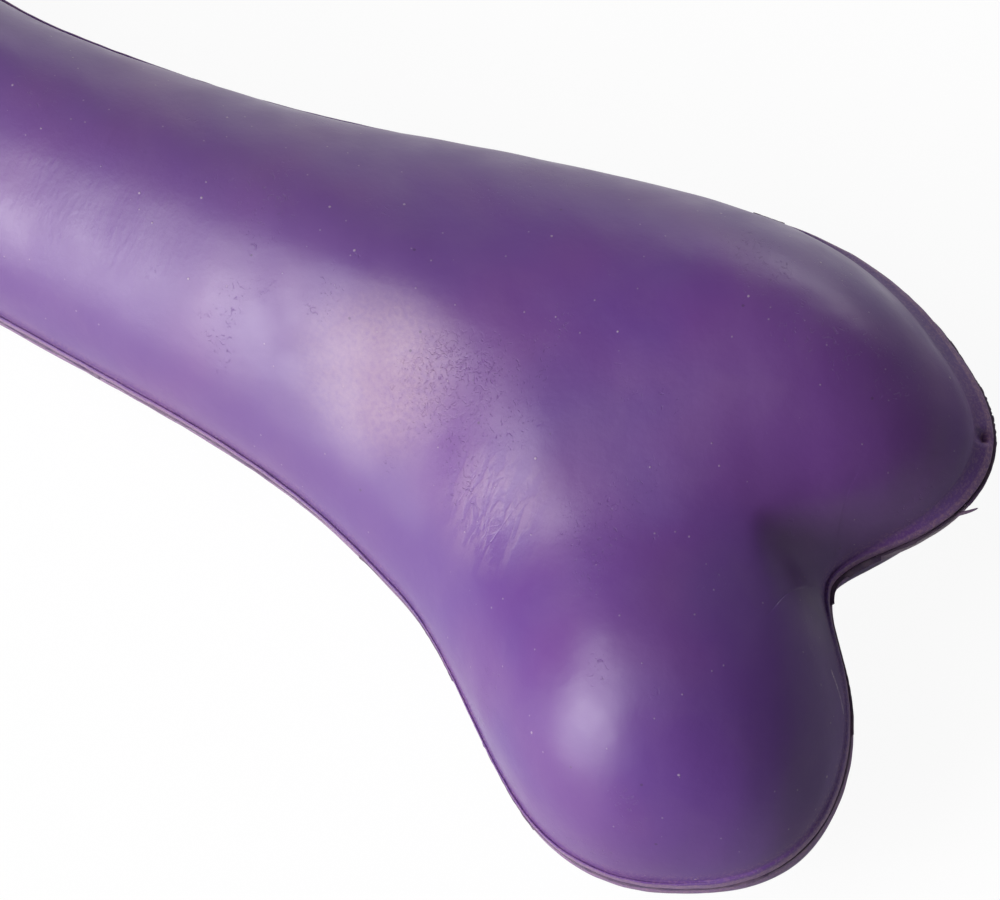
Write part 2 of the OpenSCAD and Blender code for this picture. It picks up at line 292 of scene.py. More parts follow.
seam_length = along_seam(skin_edge)[1]
print(f"the seam is {seam_length:.0f} mm long")

# %% Where the skin is set in
LOBE_X, LONG_LOBE_Y, ROUND_LOBE_Y = 80, 13, -16
SKIRT_WIDTH, SKIRT_RISE, FILL_HEIGHT = 1.1, 1.1, 0.6


def skirt(points):
    """How far the skin's edge is set in and raised, by the angle in degrees round each lobe."""
    x, y = np.abs(points[..., 0]) - LOBE_X, points[..., 1]
    round_long = np.degrees(np.arctan2(y - LONG_LOBE_Y, x))
    round_round = np.degrees(np.arctan2(y - ROUND_LOBE_Y, x))
    inset = SKIRT_WIDTH * ramp((round_long + 62) / 75) * ramp((152 - round_long) / 100)
    filled = ramp((round_round + 60) / 40) * ramp((62 - round_round) / 15)
    return inset, SKIRT_RISE * inset + FILL_HEIGHT * filled


print(f"the skirt is up to {skirt(skin_edge)[0].max():.2f} mm wide")


# %% The band's profile
# Each pair is how far a loop stands out of the skin's edge and how high it lies over the seam.
BAND_PROFILE = [
    (0.02, 1.34), (0.07, 1.30), (0.13, 1.31), (0.18, 1.37), (0.24, 1.39),
    (0.29, 1.34), (0.32, 1.24), (0.33, 1.05), (0.325, 0.6), (0.31, 0.3), (0.27, half_gum),
]
BAND_STAND, BEAD_LOW = 0.33, 1.2  # how far the band stands out, and the height where its bead begins
LOW_EDGE, SINKING = 0.35, 0.7  # the skirt sinks what is above this height, by this share per millimetre
PIT_PLACE, PIT_REACH, PIT_DEPTH, PIT_IN, PIT_WIDTH = (93.9, 17.05), 0.9, 1.1, 0.5, 0.36
PIT_FLOOR, TORN_RIM = 0.5, 0.2  # the pit ends at this height, and this much is torn off the bead by it


def band_loops(edge, seed):
    """The loops that make one half's band, from the crease down to the seam."""
    run, length = along_seam(edge)
    out = outward_in_plane(edge)
    proud = 0.05 * wander(run, length, 9, seed) + 0.025 * wander(run, length, 1.3, seed + 1)
    lift = 0.09 * wander(run, length, 14, seed + 2) + 0.03 * wander(run, length, 1.1, seed + 3)
    torn = near(edge, *PIT_PLACE, PIT_REACH)
    inset, raised = skirt(edge)
    loops = []
    for stand, height in BAND_PROFILE:
        share = stand / BAND_STAND
        top = height > BEAD_LOW
        o = stand + proud * share - inset * (1 - share)
        sunk = SINKING * inset * share * max(height - LOW_EDGE, 0)
        pit = torn * (PIT_DEPTH * bell((o + PIT_IN) / PIT_WIDTH) + TORN_RIM * top)
        lowered = height - sunk - pit * (height > PIT_FLOOR)
        z = lowered + lift * top * ramp(share * 1.5) + raised * (1 - share)
        loops.append(np.stack([edge[:, 0] + out[:, 0] * o, edge[:, 1] + out[:, 1] * o, z], -1))
    return loops


print(f"band: {len(BAND_PROFILE)} loops of {len(skin_edge)} points")

# %% [markdown]
# ## Closed shells
#
# Each half is a thick-walled tray, so a bare skin won't do.
# The hollow is made by moving every point of the rule's skin one wall inward, square to it. That keeps
# the wall even, as a moulder needs. A Solidify modifier would be shorter, but it would carry the
# band's small steps inward as well and fold over itself at them. Skin, band, seam face and hollow
# then share their loops, so welding the doubled points closes the mesh.


# %% Faces between grids and loops
SHARP_EDGE, WELD_DIGITS = math.radians(35), 5


class Shell:
    """Collects points and quads, then welds them into one closed mesh."""

    def __init__(self):
        self.points, self.quads, self.count = [], [], 0

    def add(self, points):
        index = np.arange(len(points.reshape(-1, 3))).reshape(points.shape[:-1]) + self.count
        self.points.append(points.reshape(-1, 3))
        self.count += index.size
        return index

    def grid(self, points, flip):
        i = self.add(points)
        corners = [i[:-1, :-1], i[:-1, 1:], i[1:, 1:], i[1:, :-1]]
        self.quad(corners[::-1] if flip else corners)

    def rings(self, loops, flip):
        for a, b in zip(loops[:-1], loops[1:]):
            ia, ib = self.add(a), self.add(b)
            corners = [ia, ib, np.roll(ib, -1), np.roll(ia, -1)]
            self.quad(corners[::-1] if flip else corners)

    def quad(self, corners):
        self.quads.append(np.stack([c.ravel() for c in corners], -1))

    def mesh(self, name):
        points = np.concatenate(self.points) + [0, middle_shift, seam_height]
        points[:, 2] = np.maximum(points[:, 2], 0)
        quads = np.concatenate(self.quads)
        welded = np.round(points, WELD_DIGITS)
        _, first, same = np.unique(welded, axis=0, return_index=True, return_inverse=True)
        quads = same.ravel()[quads]
        faces = []
        for q in quads.tolist():
            f = list(dict.fromkeys(q))
            if len(f) > 2:
                faces.append(f)
        mesh = bpy.data.meshes.new(name)
        mesh.from_pydata((points[first] * MM).tolist(), [], faces)
        mesh.validate()
        mesh.shade_smooth()
        mesh.set_sharp_from_angle(angle=SHARP_EDGE)
        piece = bpy.data.objects.new(name, mesh)
        bpy.context.scene.collection.objects.link(piece)
        return piece


print("shell helper ready")

# %% [markdown]
# ## The upper half
#
# It is what the eye sees first: a smooth satin skin with the faint waves of moulded rubber. The waves
# are real displacements of the points, under a tenth of a millimetre, so that highlights wander a
# little along the shaft as they do on the real bone. A noise bump would give waves too, but it would
# only bend the light, while moved points stay in the mesh, whatever material it wears.


# %% Build a rubber half
# How high over the band the waves reach their full height, and the skirt's two moves die away.
FULL_WAVES, INSET_FADE, RAISED_FADE = 3, 14, 5


def rubber_half(name, up, seed):
    """One closed half. up is 1 for the upper half and -1 for the lower one."""
    long_grid, round_grid = grids[long_limb], grids[round_limb]
    lifted = []
    for g in (long_grid, round_grid):
        above = g[..., 2:] - half_band
        skin = g + out_of_skin(g) * waves(g * [1, 1, up])[..., None] * ramp(above / FULL_WAVES)
        inset, raised = (amount[..., None] for amount in skirt(g))
        skin[..., :2] -= outward_in_plane(g) * inset * ramp(1 - above / INSET_FADE)
        skin[..., 2:] += raised * ramp(1 - above / RAISED_FADE)
        lifted.append(skin)
    hollow = [g - wall * out_of_skin(g) for g in (long_grid, round_grid)]
    hollow_edge = edge_loop(*hollow)
    seam_face = hollow_edge * [1, 1, 0] + [0, 0, half_gum]
    loops = [edge_loop(*lifted), *band_loops(skin_edge, seed), seam_face, hollow_edge]
    turn = np.array([1, 1, up])
    shell = Shell()
    shell.grid(lifted[0] * turn, up > 0)
    shell.grid(lifted[1] * turn, up < 0)
    shell.rings([loop * turn for loop in loops], up > 0)
    shell.grid(hollow[0] * turn, up < 0)
    shell.grid(hollow[1] * turn, up > 0)
    return shell.mesh(name)


upper_rubber = rubber_half("upper_rubber", 1, 11)
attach(upper_rubber, "root")
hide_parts("upper_half")
print("upper half:", len(upper_rubber.data.vertices), "points,", len(upper_rubber.data.polygons), "faces")

# %% [markdown]
# ## The lower half and the squeaker's hole
#
# The lower half is the same shell turned over, and it rests flat on its lobes' crowns. In the middle
# of the shaft, on the side that lies down, the mould leaves a round hole for the squeaker, with a
# soft rim. The hole could be left out because it is rarely seen, but the squeaker's flange shows
# there. A Boolean with a turned cutter gives the hole, its rim and the lip that the squeaker snaps
# over in one cut, as a core pin does in the mould. A second turned tool first thickens the wall
# there into a low boss, so that the lip is as thick as the squeaker's groove is high.


# %% Turn a profile round the squeaker's axis
def turned(name, profile, closed=False, segments=96):
    """A solid turned from pairs of radius and height over the seam. Closed joins last to first."""
    angle = np.arange(segments) * 2 * math.pi / segments
    loops = [
        np.stack([r * np.cos(angle), r * np.sin(angle), np.full(segments, z)], -1)
        for r, z in profile
    ]
    shell = Shell()
    shell.rings(loops + loops[:1] if closed else loops, True)
    return shell.mesh(name)


def combine(piece, tool, operation):
    """Applies one Boolean to the piece and removes the tool."""
    modifier = piece.modifiers.new(operation, "BOOLEAN")
    modifier.operation, modifier.object, modifier.solver = operation, tool, "EXACT"
    evaluated = piece.evaluated_get(bpy.context.evaluated_depsgraph_get())
    mesh = bpy.data.meshes.new_from_object(evaluated)
    piece.modifiers.clear()
    piece.data = mesh
    bpy.data.objects.remove(tool)


BOSS = [(0, -8.0), (7.5, -8.0), (7.5, -6.6), (7.3, -6.3), (6.9, -6.19), (0, -6.19)]
HOLE = [
    (0, -14), (9.2, -14), (9.2, -12.4), (8.2, -11.78), (7.5, -11.5), (7.05, -11.1), (6.75, -10.6),
    (6.62, -10.0), (6.6, -8.79), (5.3, -8.79), (5.3, -3), (0, -3),
]
lower_rubber = rubber_half("lower_rubber", -1, 23)
combine(lower_rubber, turned("boss_tool", BOSS), "UNION")
combine(lower_rubber, turned("hole_tool", HOLE), "DIFFERENCE")
lower_rubber.data.set_sharp_from_angle(angle=SHARP_EDGE)
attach(lower_rubber, "root")
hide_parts("lower_half")
print("lower half:", len(lower_rubber.data.vertices), "points")

# %% [markdown]
# ## The flash
#
# Gum and rubber squeeze out between the halves and leave a thin fin, which a worker trims by hand.
# That gives straight cuts of uneven length with small steps between them, a rough, saw-like stretch
# at the long lobe's tip, and a whisker that the blade missed. A noise texture could roughen an even
# fin, but a blade leaves straight facets, so the cuts are laid out one by one along the seam. The
# ten that can be told apart in the photo are written down, and the rest are drawn at random.


# %% Lay out the blade's cuts
FIN_RANGE, SCOOP = (0.03, 0.2), 0.12  # how far a cut leaves the fin, and how much the blade hollows it


def trimmed(run, length, seed, shortest=3.0, longest=11.0):
    """How far the fin stands out after trimming, in millimetres, round the whole seam."""
    rng = np.random.default_rng(seed)
    ends = [0.0]
    while ends[-1] < length - longest:
        ends.append(ends[-1] + rng.uniform(shortest, longest))
    ends = np.array(ends + [length])
    first, last = rng.uniform(*FIN_RANGE, (2, len(ends)))
    k = np.clip(np.searchsorted(ends, run, "right") - 1, 0, len(ends) - 2)
    t = (run - ends[k]) / (ends[k + 1] - ends[k])
    return first[k] * (1 - t) + last[k] * t - SCOOP * t * (1 - t)


# Cuts that show well: start and end on the bone, and how far the fin stands out at each.
CLEAR_CUTS = [
    ((65.5, 25.1), (68.5, 25.6), 0.50, 0.42), ((68.5, 25.6), (70.5, 25.8), 0.22, 0.12),
    ((70.5, 25.8), (76.2, 26.1), 0.34, 0.10), ((93.9, 17.0), (94.6, 11.2), 0.18, 0.26),
    ((94.6, 11.2), (92.2, 6.6), 0.04, 0.14), ((92.2, 6.6), (90.2, 4.2), 0.22, 0.08),
    ((90.2, 4.2), (88.3, 1.4), 0.40, 0.50), ((88.3, 1.4), (88.6, -2.0), 0.30, 0.34),
    ((88.6, -2.0), (94.9, -11.6), 0.03, 0.22), ((94.9, -11.6), (95.0, -24.0), 0.08, 0.04),
]

SAWN_PLACE, SAWN_REACH = (92.1, 19.1), 4.5


def fin_height(loop):
    """How far the fin stands out all round, with the clear cuts and the saw-like stretch."""
    run, length = along_seam(loop)
    x, y = loop[:, 0], loop[:, 1]
    height = trimmed(run, length, 5) + 0.02 * wander(run, length, 0.5, 6)
    for start, end, a, b in CLEAR_CUTS:
        first, last = (run[np.argmin(np.hypot(x - px, y - py))] for px, py in (start, end))
        t = (run - first) / (last - first)
        height = np.where((t >= 0) & (t < 1), a + (b - a) * t, height)
    rough = near(loop, *SAWN_PLACE, SAWN_REACH)
    teeth = np.abs(wander(run, length, 0.34, 7))
    return height + rough * (0.16 * teeth + 0.05) + 0.03 * np.abs(wander(run, length, 0.8, 8))


print(len(CLEAR_CUTS), "clear cuts, and a saw-like stretch of", 2 * SAWN_REACH, "mm")


# %% Build the flash
FIN_SPACING = 0.12


def evenly_spaced(loop, spacing):
    run, length = along_seam(loop)
    count = round(length / spacing)
    place = np.arange(count) * length / count
    closed = np.concatenate([loop, loop[:1]])
    return np.stack([np.interp(place, np.append(run, length), closed[:, k]) for k in range(3)], -1)


fine_edge = evenly_spaced(skin_edge, FIN_SPACING)
fine_out = outward_in_plane(fine_edge)
fin = fin_height(fine_edge)
droop = 0.05 * wander(*along_seam(fine_edge), 5, 9)


def fin_loop(stand, z):
    place = fine_edge[:, :2] + fine_out * stand[:, None]
    return np.concatenate([place, np.broadcast_to(np.asarray(z).reshape(-1, 1), (len(place), 1))], 1)


ROOT, BURIED = 0.3, 0.24  # how far out the fin starts to taper, and how far the gum keeps its thickness
inner_edge = np.full(len(fine_edge), -wall)
in_band = np.full(len(fine_edge), BURIED)
shell = Shell()
fin_profile = [
    fin_loop(inner_edge, half_gum),
    fin_loop(in_band, half_gum),
    fin_loop(ROOT + fin * 0.7, 0.09 + droop),
    fin_loop(ROOT + fin, 0.04 + droop),
    fin_loop(ROOT + fin, -0.05 + droop),
    fin_loop(ROOT + fin * 0.6, -0.11 + droop),
    fin_loop(in_band, -half_gum),
    fin_loop(inner_edge, -half_gum),
]
shell.rings(fin_profile + fin_profile[:1], True)
seam_flash = shell.mesh("seam_flash")
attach(seam_flash, "root")
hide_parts("seam_gum")
print("flash:", len(seam_flash.data.vertices), "points, fin up to", round(float(fin.max()), 2), "mm")


# %% The whisker that the blade missed
def whisker(name, start, reach, bend, width, thickness, steps=14):
    """A thin flat sliver that tapers to a point. Places are in millimetres on the bone."""
    start, reach, bend = (np.array(v, float) for v in (start, reach, bend))
    side = np.cross(reach, [0, 0, 1])
    side /= np.linalg.norm(side)
    angle = np.arange(8) * math.pi / 4
    across = np.outer(np.cos(angle), side * width / 2) + np.outer(np.sin(angle), [0, 0, thickness / 2])
    t = np.linspace(0, 1, steps + 1)
    centres = start + np.outer(t, reach) + np.outer(t * (1 - t), bend)
    loops = [c + across * (0.98 * (1 - k) ** 0.4 + 0.02) for c, k in zip(centres, t)]
    root, tip = (np.broadcast_to(c, across.shape) for c in centres[[0, -1]])
    shell = Shell()
    shell.rings([root, *loops, tip], False)
    return shell.mesh(name)


WHISKER_START, WHISKER_REACH, WHISKER_BEND = (94.2, 10.0, 0.0), (1.6, 1.45, 0.1), (0.3, -0.25, 0.1)
flash_whisker = whisker("flash_whisker", WHISKER_START, WHISKER_REACH, WHISKER_BEND, 0.4, 0.14)
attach(flash_whisker, "root")
print("whisker:", len(flash_whisker.data.vertices), "points")

# %% [markdown]
# ## The squeaker
#
# The squeaker's cup is a round plastic piece, moulded in one shot. Its flange shows underneath, so
# its edges get the small rounds that a mould gives. The CAD cup could be dressed as it is, but its
# edges are knife sharp and catch no light. Turning the same profile again with rounds costs little.

# %% Turn the cup
CUP = [
    (1.5, -9.55), (1.56, -9.72), (1.75, -9.79), (6.2, -9.79), (6.42, -9.72), (6.5, -9.55), (6.5, -8.95),
    (6.44, -8.83), (6.3, -8.79), (5.2, -8.79), (5.2, -6.09), (5.9, -6.09), (6.06, -6.04), (6.1, -5.9),
    (5.3, -4.95), (5.2, -4.8), (5.2, 0.41), (4.2, 0.41), (4.2, -8.79), (1.5, -8.79),
]
squeaker_cup = turned("squeaker_cup_body", CUP, closed=True)
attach(squeaker_cup, "root")
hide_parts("squeaker_cup")
print("squeaker cup:", len(squeaker_cup.data.vertices), "points")

# %% [markdown]
# ## Short ways to write a material
#
# Each material below is a small net of nodes. A helper keeps the net readable: it works in
# millimetres on the object, so 0.1 means a tenth of a millimetre wherever the camera stands. Image
# textures would need a photograph and a layout of the surface. Noise in space needs neither, and it
# runs on over the edges between pieces.


# %% The node helper
def on_frame(place):
    """A place given on the bone, in millimetres, as the frame has it."""
    return Vector(place) + Vector((0, middle_shift, seam_height))


class Nodes:
    """Adds and links the nodes of one material."""

    def __init__(self, name, **constants):
        self.material = bpy.data.materials.new(name)
        self.material.use_nodes = True
        self.tree = self.material.node_tree
        self.shader = self.tree.nodes["Principled BSDF"]
        for socket, value in constants.items():
            self.shader.inputs[socket.replace("_", " ")].default_value = value
        place = self.add("ShaderNodeTexCoord").outputs["Object"]
        self.mm = self.vector("SCALE", place, scale=1 / MM)

    def add(self, kind, **settings):
        node = self.tree.nodes.new(kind)
        for name, value in settings.items():
            setattr(node, name, value)
        return node

    def put(self, socket, value):
        if isinstance(value, bpy.types.NodeSocket):
            self.tree.links.new(value, socket)
        elif value is not None:
            socket.default_value = value

    def math(self, operation, a, b=None, clamp=False):
        node = self.add("ShaderNodeMath", operation=operation, use_clamp=clamp)
        self.put(node.inputs[0], a)
        self.put(node.inputs[1], b)
        return node.outputs[0]

    def vector(self, operation, a, b=None, scale=None):
        node = self.add("ShaderNodeVectorMath", operation=operation)
        for socket, value in zip((node.inputs[0], node.inputs[1], node.inputs[3]), (a, b, scale)):
            self.put(socket, value)
        return node.outputs["Value" if operation in ("DISTANCE", "DOT_PRODUCT") else "Vector"]

    def noise(self, size, detail=2.0, roughness=0.5, stretch=None, distortion=0.0):
        """Noise from 0 to 1 whose lumps are about the given size in millimetres."""
        node = self.add("ShaderNodeTexNoise")
        place = self.vector("MULTIPLY", self.mm, stretch) if stretch else self.mm
        self.put(node.inputs["Vector"], place)
        self.put(node.inputs["Scale"], 1 / size)
        self.put(node.inputs["Detail"], detail)
        self.put(node.inputs["Roughness"], roughness)
        self.put(node.inputs["Distortion"], distortion)
        return node.outputs["Fac"]

    def span(self, value, low, high, to_low=0.0, to_high=1.0):
        node = self.add("ShaderNodeMapRange", interpolation_type="SMOOTHSTEP")
        for socket, number in zip(node.inputs, (value, low, high, to_low, to_high)):
            self.put(socket, number)
        return node.outputs["Result"]

    def mix(self, share, a, b):
        node = self.add("ShaderNodeMix", data_type="RGBA")
        for socket, value in ((node.inputs[0], share), (node.inputs[6], a), (node.inputs[7], b)):
            self.put(socket, (*value, 1) if isinstance(value, tuple) else value)
        return node.outputs[2]

    def specks(self, spacing, size, kept):
        """1 on small round specks. Kept is the share of places that have one."""
        node = self.add("ShaderNodeTexVoronoi")
        self.put(node.inputs["Vector"], self.mm)
        self.put(node.inputs["Scale"], 1 / spacing)
        dot = self.span(node.outputs["Distance"], size / spacing, size / spacing * 0.6)
        chosen = self.add("ShaderNodeSeparateColor")
        self.put(chosen.inputs[0], node.outputs["Color"])
        return self.math("MULTIPLY", dot, self.math("LESS_THAN", chosen.outputs[0], kept))

    def near(self, place, reach):
        """1 at a place on the bone, falling to 0 at the reach from it, in millimetres."""
        return self.span(self.vector("DISTANCE", self.mm, on_frame(place)), reach, reach * 0.25)

    def scratch(self, start, end, width):
        """1 along a straight scratch between two places on the bone, in millimetres."""
        start, along = on_frame(start), on_frame(end) - on_frame(start)
        place = self.vector("SUBTRACT", self.mm, start)
        share = self.vector("DOT_PRODUCT", place, along / along.length_squared)
        share = self.math("MAXIMUM", self.math("MINIMUM", share, 1.0), 0.0)
        far = self.vector("DISTANCE", place, self.vector("SCALE", along, scale=share))
        return self.span(far, width, width * 0.3)

    def strongest(self, *values):
        total = values[0]
        for value in values[1:]:
            total = self.math("MAXIMUM", total, value)
        return total

    def bump(self, height, depth, under=None):
        """A bump as deep as given in millimetres, laid over another one."""
        node = self.add("ShaderNodeBump")
        self.put(node.inputs["Distance"], depth * MM)
        self.put(node.inputs["Height"], height)
        self.put(node.inputs["Normal"], under)
        return node.outputs["Normal"]

    def finish(self, colour, roughness, normal):
        self.put(self.shader.inputs["Base Color"], colour)
        self.put(self.shader.inputs["Roughness"], roughness)
        self.put(self.shader.inputs["Normal"], normal)
        return self.material


print("node helper ready")

# %% [markdown]
# ## The rubber
#
# Natural rubber is never one flat purple. The pigment clouds between a bluer and a redder violet, a
# milky bloom of wax comes up in patches, and dust and pale specks stick to it. The grain is so fine
# that it only softens the highlight, so roughness and a very shallow bump carry it. Light is painted
# into the colour too: a milky painted sheen over the shaft towards its lit near side, and a painted
# highlight, mottled by the grain, where the shaft's highlight is brightest. The photographed head also
# has marks of its own: a crazed patch, a scuffed one with two scratches and some painted highlight,
# and faint ripples on the shaft. Each is set by its place, since random noise would never put them
# there. Dust clings to the band and the skirt, and a painted reflection of the white floor lies on
# the lower half beside the cleft.


# %% Purple rubber
BLUE_VIOLET, RED_VIOLET = (0.112, 0.043, 0.226), (0.130, 0.045, 0.222)
# The lilac is both the wax bloom and the colour of the painted sheen and highlights, and the pale dust
# colour also serves the painted reflection of the white floor.
LILAC, DUST_AND_REFLECTION, SEAM_DUST = (0.44, 0.31, 0.35), (0.46, 0.38, 0.45), (0.34, 0.19, 0.28)
DARK_SPECK, SCRATCHED_PALE, ROUGHEST = (0.05, 0.03, 0.07), (0.62, 0.52, 0.62), 0.62
# Places in millimetres on the bone: the first lightens the shaft towards its lit near side as a painted
# sheen, the second is a painted highlight mottled by the grain, and the third holds real scuffs with some
# painted highlight.
PAINTED_SHEEN, PAINTED_HIGHLIGHT, SCUFFS_AND_HIGHLIGHT = (22, -14, 8), (48.5, -4.5, 13.7), (63.3, -10.4, 13.6)
# The last place on the next line is where a painted reflection of the white floor lies, on the lower half
# beside the cleft.
CRAZED, RIPPLED, PAINTED_REFLECTION = (54.7, -2.8, 15.4), (18.0, -3.0, 12.5), (93.0, 7.0, -2.0)
SCRATCHES = [
    ((60.14, -10.91, 12.30), (60.71, -8.66, 13.92)),
    ((64.46, -12.81, 12.51), (64.99, -10.81, 13.69)),
    ((64.99, -10.81, 13.69), (65.48, -9.02, 14.59)),
]
PALE_SCRATCHES = [
    ((96.1, -24.0, 0.5), (97.35, -21.4, 0.6)), ((91.9, 6.2, 0.3), (94.4, 10.8, 0.2)),
    ((93.2, -7.7, 4.5), (95.2, -9.9, 2.3)),
]


def purple_rubber(name, reflection_share):
    """Rubber for one half. The second argument is how much painted reflection of the white floor lies on
    it beside the cleft.
    """
    n = Nodes(name, Sheen_Weight=0.05, Sheen_Roughness=0.5, IOR=1.5)
    height = n.add("ShaderNodeSeparateXYZ")
    n.put(height.inputs[0], n.mm)
    from_seam = n.math("ABSOLUTE", n.math("SUBTRACT", height.outputs["Z"], seam_height))
    colour = n.mix(n.span(n.noise(17, 2), 0.36, 0.64), BLUE_VIOLET, RED_VIOLET)
    clouds = n.span(n.noise(6, 4, 0.6, distortion=0.5), 0.40, 0.80)
    smears = n.span(n.noise(1.1, 4, 0.6, stretch=(1, 0.3, 0.35), distortion=0.6), 0.44, 0.60)
    grain = n.noise(0.5, 3, 0.65)
    # Painted light goes into the milky mix: a painted highlight mottled by the grain, some painted
    # highlight over the scuffs, and a painted sheen over the shaft towards its lit near side.
    painted_highlight, scuffs_and_highlight = n.near(PAINTED_HIGHLIGHT, 10), n.math("MULTIPLY", n.near(SCUFFS_AND_HIGHLIGHT, 7), smears)
    bloom_and_sheen = n.math("ADD", n.math("MULTIPLY", clouds, 0.03), n.math("MULTIPLY", n.near(PAINTED_SHEEN, 55), 0.08))
    bloom_and_sheen = n.math("ADD", bloom_and_sheen, n.math("MULTIPLY", n.math("MULTIPLY", painted_highlight, grain), 0.60))
    bloom_and_sheen = n.math("ADD", bloom_and_sheen, n.math("MULTIPLY", scuffs_and_highlight, 0.16), clamp=True)
    colour = n.mix(bloom_and_sheen, colour, LILAC)
    pale = n.strongest(n.specks(2.6, 0.14, 0.5), n.math("MULTIPLY", n.specks(1.3, 0.10, 0.5), 0.6))
    colour = n.mix(n.math("MULTIPLY", pale, 0.5), colour, DUST_AND_REFLECTION)
    colour = n.mix(n.math("MULTIPLY", n.specks(2.1, 0.16, 0.15), 0.5), colour, DARK_SPECK)
    grit = n.span(n.noise(0.26, 3, 0.7), 0.42, 0.66, 0.25, 0.8)
    skirt_grit = n.math("MULTIPLY", n.span(from_seam, 3.2, 2.0), n.span(grit, 0.3, 0.8, 0, 0.3))
    on_band = n.math("MULTIPLY", n.span(from_seam, 1.38, 1.2), grit)
    colour = n.mix(n.strongest(on_band, skirt_grit), colour, SEAM_DUST)
    # A painted reflection of the white floor, in streaks, on the lower half beside the cleft.
    streaks = n.span(n.noise(2.4, 4, 0.6, stretch=(1, 1, 0.35), distortion=1.2), 0.34, 0.6)
    painted_reflection = n.math("MULTIPLY", n.near(PAINTED_REFLECTION, 6), n.span(streaks, 0, 1, 0.5 * reflection_share, reflection_share))
    colour = n.mix(painted_reflection, colour, DUST_AND_REFLECTION)
    pale_scratches = n.strongest(*(n.scratch(a, b, 0.22) for a, b in PALE_SCRATCHES))
    colour = n.mix(n.math("MULTIPLY", pale_scratches, grit), colour, SCRATCHED_PALE)
    rough = n.math("ADD", n.span(n.noise(5, 4), 0.3, 0.7, 0.34, 0.43), n.math("MULTIPLY", bloom_and_sheen, 0.20))
    rough = n.math("ADD", rough, n.span(from_seam, 3.0, 1.2, 0, 0.14))
    scrawl = n.span(n.noise(0.9, 3, 0.6, distortion=3), 0.60, 0.70)
    dents = n.math("MULTIPLY", n.span(n.noise(9, 2), 0.52, 0.66), scrawl)
    normal = n.bump(n.noise(3.2, 2), 0.05)
    coarse = n.strongest(painted_highlight, n.near(RIPPLED, 20), n.near(SCUFFS_AND_HIGHLIGHT, 9))
    normal = n.bump(n.math("MULTIPLY", grain, n.span(coarse, 0, 1, 0.6, 1)), 0.022, normal)
    ripples = n.math("MULTIPLY", n.near(RIPPLED, 18), n.noise(1.0, 2, stretch=(2.0, 0.5, 0.8)))
    normal = n.bump(ripples, 0.035, normal)
    wrinkles = n.span(n.noise(0.75, 3, 0.6, distortion=2.0), 0.64, 0.52)
    normal = n.bump(n.math("MULTIPLY", n.near(CRAZED, 6), wrinkles), 0.022, normal)
    scratched = n.strongest(*(n.scratch(a, b, 0.16) for a, b in SCRATCHES))
    normal = n.bump(n.math("SUBTRACT", scuffs_and_highlight, n.math("MULTIPLY", scratched, 2.5)), 0.014, normal)
    normal = n.bump(n.math("SUBTRACT", pale, dents), 0.025, normal)
    normal = n.bump(skirt_grit, 0.03, normal)
    return n.finish(colour, n.math("MINIMUM", rough, ROUGHEST), normal)


upper_material = purple_rubber("purple_rubber_upper", 0.0)
# The lower half carries the painted reflection of the white floor beside the cleft.
lower_material = purple_rubber("purple_rubber_lower", 0.9)
print("rubber nodes:", len(upper_material.node_tree.nodes))

# %% [markdown]
# ## The flash and the plastics
#
# The trimmed fin has lost its skin and holds dirt, so it is a dull dark purple that is rougher than
# the rubber. It could share the rubber's material, but then the dark line round the bone would be
# lost. The squeaker's plastics are plain mouldings, yet they too have flow marks in the gloss, a
# little yellowing and fine dust, which keep them from looking like a drawing.


# %% Flash and plastics
CUT_RUBBER, DIRTY_RUBBER = (0.070, 0.034, 0.100), (0.125, 0.072, 0.130)
YELLOWING, GREY_DUST = (0.97, 0.93, 0.82), (0.25, 0.22, 0.20)


def trimmed_flash():
    n = Nodes("trimmed_flash", Sheen_Weight=0.1, IOR=1.5)
    dirt = n.span(n.noise(0.8, 4, 0.65), 0.35, 0.65)
    colour = n.mix(dirt, CUT_RUBBER, DIRTY_RUBBER)
    colour = n.mix(n.math("MULTIPLY", n.specks(0.9, 0.12, 0.3), 0.6), colour, DUST_AND_REFLECTION)
    rough = n.span(n.noise(1.5, 3), 0.3, 0.7, 0.5, 0.72)
    return n.finish(colour, rough, n.bump(n.noise(0.3, 4, 0.7), 0.02))


def moulded_plastic(name, colour, gloss):
    n = Nodes(name, IOR=1.48)
    yellowed = tuple(c * k for c, k in zip(colour, YELLOWING))
    shade = n.mix(n.span(n.noise(4, 3), 0.35, 0.7), colour, yellowed)
    shade = n.mix(n.math("MULTIPLY", n.specks(1.1, 0.09, 0.25), 0.5), shade, GREY_DUST)
    rough = n.span(n.noise(2.5, 3, stretch=(1, 3, 1)), 0.3, 0.7, gloss, gloss + 0.12)
    return n.finish(shade, rough, n.bump(n.noise(1.2, 3), 0.012))


def dress(piece, material):
    piece.data.materials.clear()
    piece.data.materials.append(material)


dress(upper_rubber, upper_material)
dress(lower_rubber, lower_material)
flash_material = trimmed_flash()
dress(seam_flash, flash_material)
dress(flash_whisker, flash_material)
dress(squeaker_cup, moulded_plastic("squeaker_white", (0.84, 0.82, 0.76), 0.28))
PLASTICS = {
    "squeaker_cap": ("squeaker_cap_ivory", (0.70, 0.68, 0.60), 0.32),
    "reed_seat": ("reed_seat_grey", (0.60, 0.59, 0.54), 0.38),
    "reed_clip": ("reed_clip_grey", (0.52, 0.51, 0.47), 0.38),
    "reed": ("reed_film", (0.86, 0.85, 0.78), 0.22),
}
for node_name, finish in PLASTICS.items():
    dress(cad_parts[node_name], moulded_plastic(*finish))
print("dressed pieces:", 5 + len(PLASTICS))

